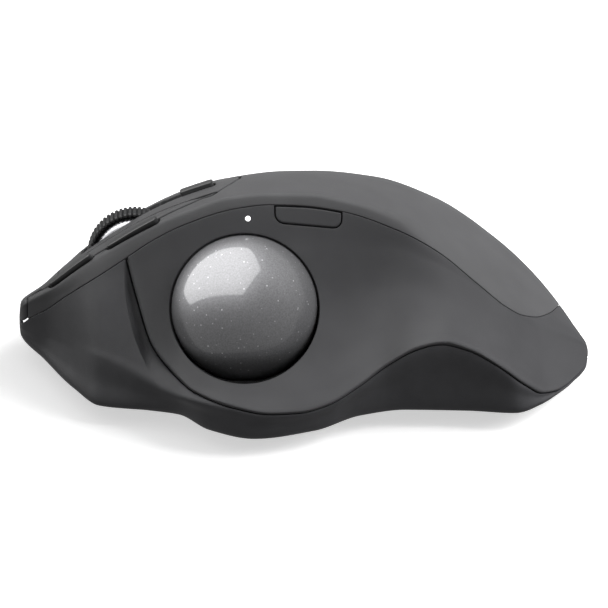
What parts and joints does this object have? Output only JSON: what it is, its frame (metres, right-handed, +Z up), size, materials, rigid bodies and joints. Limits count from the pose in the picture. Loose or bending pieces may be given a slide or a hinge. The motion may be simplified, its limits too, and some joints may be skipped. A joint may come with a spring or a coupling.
{
  "type": "trackball mouse",
  "caption": "Right-handed trackball mouse with a thumb ball, sculpted palm cover, scroll wheel and click buttons on a tilting steel base.",
  "frame": {"origin": "bottom centre of the object's bounding box, on the table", "axes": "+X from the nose to the heel, -Y is the thumb side, +Z up"},
  "size_m": [0.1324, 0.0993, 0.0484],
  "materials": {
    "tilt_plate": "satin",
    "plate_pad": "matt",
    "hinge_pin_1": "plated",
    "hinge_pin_2": "plated",
    "lower_shell": "fine moulded texture",
    "thumb_panel": "soft-touch coat",
    "palm_cover": "soft-touch coat",
    "centre_strip": "soft-touch coat",
    "status_light": "clear light pipe",
    "ball_cup": "moulded",
    "ball_retaining_ring": "moulded",
    "ball_bearing_1": "polished ceramic",
    "ball_bearing_2": "polished ceramic",
    "ball_bearing_3": "polished ceramic",
    "sensor_lens": "clear",
    "sensor_module": "moulded",
    "button_board": "solder mask",
    "left_switch": "moulded",
    "right_switch": "moulded",
    "forward_switch": "moulded",
    "back_switch": "moulded",
    "wheel_switch": "moulded",
    "pairing_switch": "moulded",
    "precision_switch": "moulded",
    "chassis": "moulded",
    "battery_tray": "moulded",
    "battery": "wrapped cell",
    "main_board": "solder mask",
    "case_screw_1": "plated",
    "case_screw_2": "plated",
    "case_screw_3": "plated",
    "case_screw_4": "plated",
    "charging_port": "plated",
    "hinge_bracket_1": "moulded",
    "hinge_bracket_2": "moulded",
    "magnet_left": "plated",
    "magnet_right": "plated",
    "trackball": "pearly polished resin",
    "left_button": "soft-touch coat",
    "right_button": "soft-touch coat",
    "forward_button": "moulded",
    "back_button": "moulded",
    "precision_button": "soft-touch coat",
    "pairing_button": "moulded",
    "wheel_cradle": "moulded",
    "wheel_fork": "moulded",
    "wheel_encoder": "moulded",
    "wheel_tyre": "notched, satin",
    "wheel_hub": "satin",
    "wheel_axle": "ground",
    "power_slider": "satin"
  },
  "bodies": {
    "base": {"tilt_plate": "tilt_plate", "plate_pad": "plate_pad", "hinge_pin_1": "hinge_pin_1", "hinge_pin_2": "hinge_pin_2"},
    "body": {"lower_shell": "lower_shell", "thumb_panel": "thumb_panel", "palm_cover": "palm_cover", "centre_strip": "centre_strip", "status_light": "status_light", "ball_cup": "ball_cup", "ball_retaining_ring": "ball_retaining_ring", "ball_bearing_1": "ball_bearing_1", "ball_bearing_2": "ball_bearing_2", "ball_bearing_3": "ball_bearing_3", "sensor_lens": "sensor_lens", "sensor_module": "sensor_module", "button_board": "button_board", "left_switch": "left_switch", "right_switch": "right_switch", "forward_switch": "forward_switch", "back_switch": "back_switch", "wheel_switch": "wheel_switch", "pairing_switch": "pairing_switch", "precision_switch": "precision_switch", "chassis": "chassis", "battery_tray": "battery_tray", "battery": "battery", "main_board": "main_board", "case_screw_1": "case_screw_1", "case_screw_2": "case_screw_2", "case_screw_3": "case_screw_3", "case_screw_4": "case_screw_4", "charging_port": "charging_port", "hinge_bracket_1": "hinge_bracket_1", "hinge_bracket_2": "hinge_bracket_2", "magnet_left": "magnet_left", "magnet_right": "magnet_right"},
    "ball": {"trackball": "trackball"},
    "left_button": {"left_button": "left_button"},
    "right_button": {"right_button": "right_button"},
    "forward_button": {"forward_button": "forward_button"},
    "back_button": {"back_button": "back_button"},
    "precision_button": {"precision_button": "precision_button"},
    "pairing_button": {"pairing_button": "pairing_button"},
    "wheel_press": {"wheel_cradle": "wheel_cradle"},
    "wheel_tilt": {"wheel_fork": "wheel_fork", "wheel_encoder": "wheel_encoder"},
    "wheel": {"wheel_tyre": "wheel_tyre", "wheel_hub": "wheel_hub", "wheel_axle": "wheel_axle"},
    "power_slider": {"power_slider": "power_slider"}
  },
  "joints": [
    {"name": "base_tilt", "type": "hinge", "parent": "base", "child": "body", "pos_m": [0.004, 0.01825, 0.0052], "axis": [-1, 0, 0], "range_deg": [0, 20]},
    {"name": "ball_spin", "type": "hinge", "parent": "body", "child": "ball", "pos_m": [-0.0137, -0.02288, 0.02558], "axis": [1, 0, 0], "continuous": true},
    {"name": "left_click", "type": "hinge", "parent": "body", "child": "left_button", "pos_m": [-0.021, -0.009, 0.042], "axis": [0, -1, 0], "range_deg": [0, 0.5], "stiffness_Nm_per_rad": 0.5},
    {"name": "right_click", "type": "hinge", "parent": "body", "child": "right_button", "pos_m": [-0.018, 0.02, 0.038], "axis": [0, -1, 0], "range_deg": [0, 0.5], "stiffness_Nm_per_rad": 0.5},
    {"name": "forward_press", "type": "slide", "parent": "body", "child": "forward_button", "axis": [0.5034, -0.2767, -0.8186], "range_m": [0, 0.0006], "stiffness_N_per_m": 400},
    {"name": "back_press", "type": "slide", "parent": "body", "child": "back_button", "axis": [0.5034, -0.2767, -0.8186], "range_m": [0, 0.0006], "stiffness_N_per_m": 400},
    {"name": "precision_press", "type": "slide", "parent": "body", "child": "precision_button", "axis": [0, 0.891, -0.454], "range_m": [0, 0.0006], "stiffness_N_per_m": 400},
    {"name": "pairing_press", "type": "slide", "parent": "body", "child": "pairing_button", "axis": [0.5034, -0.2767, -0.8186], "range_m": [0, 0.0005], "stiffness_N_per_m": 400},
    {"name": "wheel_click", "type": "slide", "parent": "body", "child": "wheel_press", "axis": [0, -0.2419, -0.9703], "range_m": [0, 0.0005], "stiffness_N_per_m": 600},
    {"name": "wheel_lean", "type": "hinge", "parent": "wheel_press", "child": "wheel_tilt", "pos_m": [-0.0393, 0.00179, 0.02115], "axis": [1, 0, 0], "range_deg": [-2.5, 2.5], "stiffness_Nm_per_rad": 0.08},
    {"name": "wheel_spin", "type": "hinge", "parent": "wheel_tilt", "child": "wheel", "pos_m": [-0.0393, 0.003, 0.026], "axis": [0, 0.9703, -0.2419], "continuous": true},
    {"name": "power_slide", "type": "slide", "parent": "body", "child": "power_slider", "axis": [1, 0, 0], "range_m": [0, 0.003]}
  ]
}
